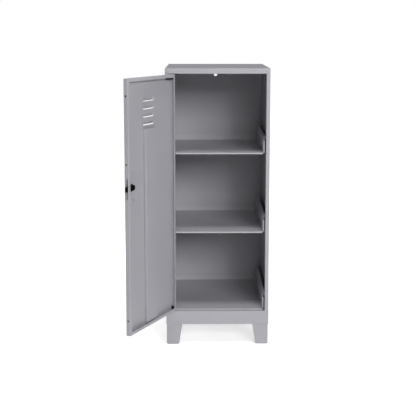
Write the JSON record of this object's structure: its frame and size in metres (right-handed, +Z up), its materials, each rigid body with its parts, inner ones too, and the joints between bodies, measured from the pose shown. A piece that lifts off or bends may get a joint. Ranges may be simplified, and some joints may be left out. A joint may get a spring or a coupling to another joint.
{
  "type": "storage locker",
  "caption": "Free-standing steel storage locker with a hinged louvered door, cam lock, fixed shelves and tapered legs.",
  "frame": {"origin": "on the floor, under the middle of the cabinet (the door stands open outside it)", "axes": "+Z up, the door side faces -Y, +X to the right of someone facing the door"},
  "size_m": [0.5086, 0.7731, 1.025],
  "materials": {
    "grey_paint": "satin powder coat",
    "zinc_plate": "zinc plated",
    "black_steel": "black oxide",
    "chrome_plate": "bright chrome",
    "black_nylon": "moulded",
    "foot_plastic": "moulded",
    "handle_plastic": "fine moulded grain",
    "black_rubber": "soft"
  },
  "bodies": {
    "cabinet": {"top_cap": "grey_paint", "base_front": "grey_paint", "base_rear": "grey_paint", "base_left": "grey_paint", "base_right": "grey_paint", "side_panel_left": "grey_paint", "side_panel_right": "grey_paint", "back_panel": "grey_paint", "back_panel_screws": "zinc_plate", "floor_pan": "grey_paint", "lower_shelf": "grey_paint", "upper_shelf": "grey_paint", "lower_shelf_rail_left": "grey_paint", "lower_shelf_rail_right": "grey_paint", "upper_shelf_rail_left": "grey_paint", "upper_shelf_rail_right": "grey_paint", "leg_front_left": "grey_paint", "leg_front_right": "grey_paint", "leg_rear_left": "grey_paint", "leg_rear_right": "grey_paint", "foot_pad_front_left": "foot_plastic", "foot_pad_front_right": "foot_plastic", "foot_pad_rear_left": "foot_plastic", "foot_pad_rear_right": "foot_plastic", "leg_bolts": "zinc_plate", "leg_nuts": "zinc_plate", "top_pivot_plate": "grey_paint", "bottom_pivot_plate": "grey_paint", "hinge_pin_top": "zinc_plate", "hinge_pin_bottom": "zinc_plate"},
    "door": {"door_panel": "grey_paint", "door_stiffener": "grey_paint", "top_pivot_block": "black_nylon", "bottom_pivot_bush": "black_nylon", "pull_handle": "handle_plastic", "handle_screws": "zinc_plate", "edge_bumpers": "black_rubber", "lock_housing": "chrome_plate", "lock_nut": "black_steel"},
    "latch": {"lock_plug": "chrome_plate", "latch_cam": "black_steel", "cam_screw": "black_steel"}
  },
  "joints": [
    {"name": "door_hinge", "type": "hinge", "parent": "cabinet", "child": "door", "pos_m": [-0.166, -0.2242, 0], "axis": [0, 0, 1], "range_deg": [0, 115.3]},
    {"name": "lock_turn", "type": "hinge", "parent": "door", "child": "latch", "pos_m": [-0.29753, -0.48888, 0.635], "axis": [-0.9041, 0.4274, 0], "range_deg": [0, 90]}
  ]
}
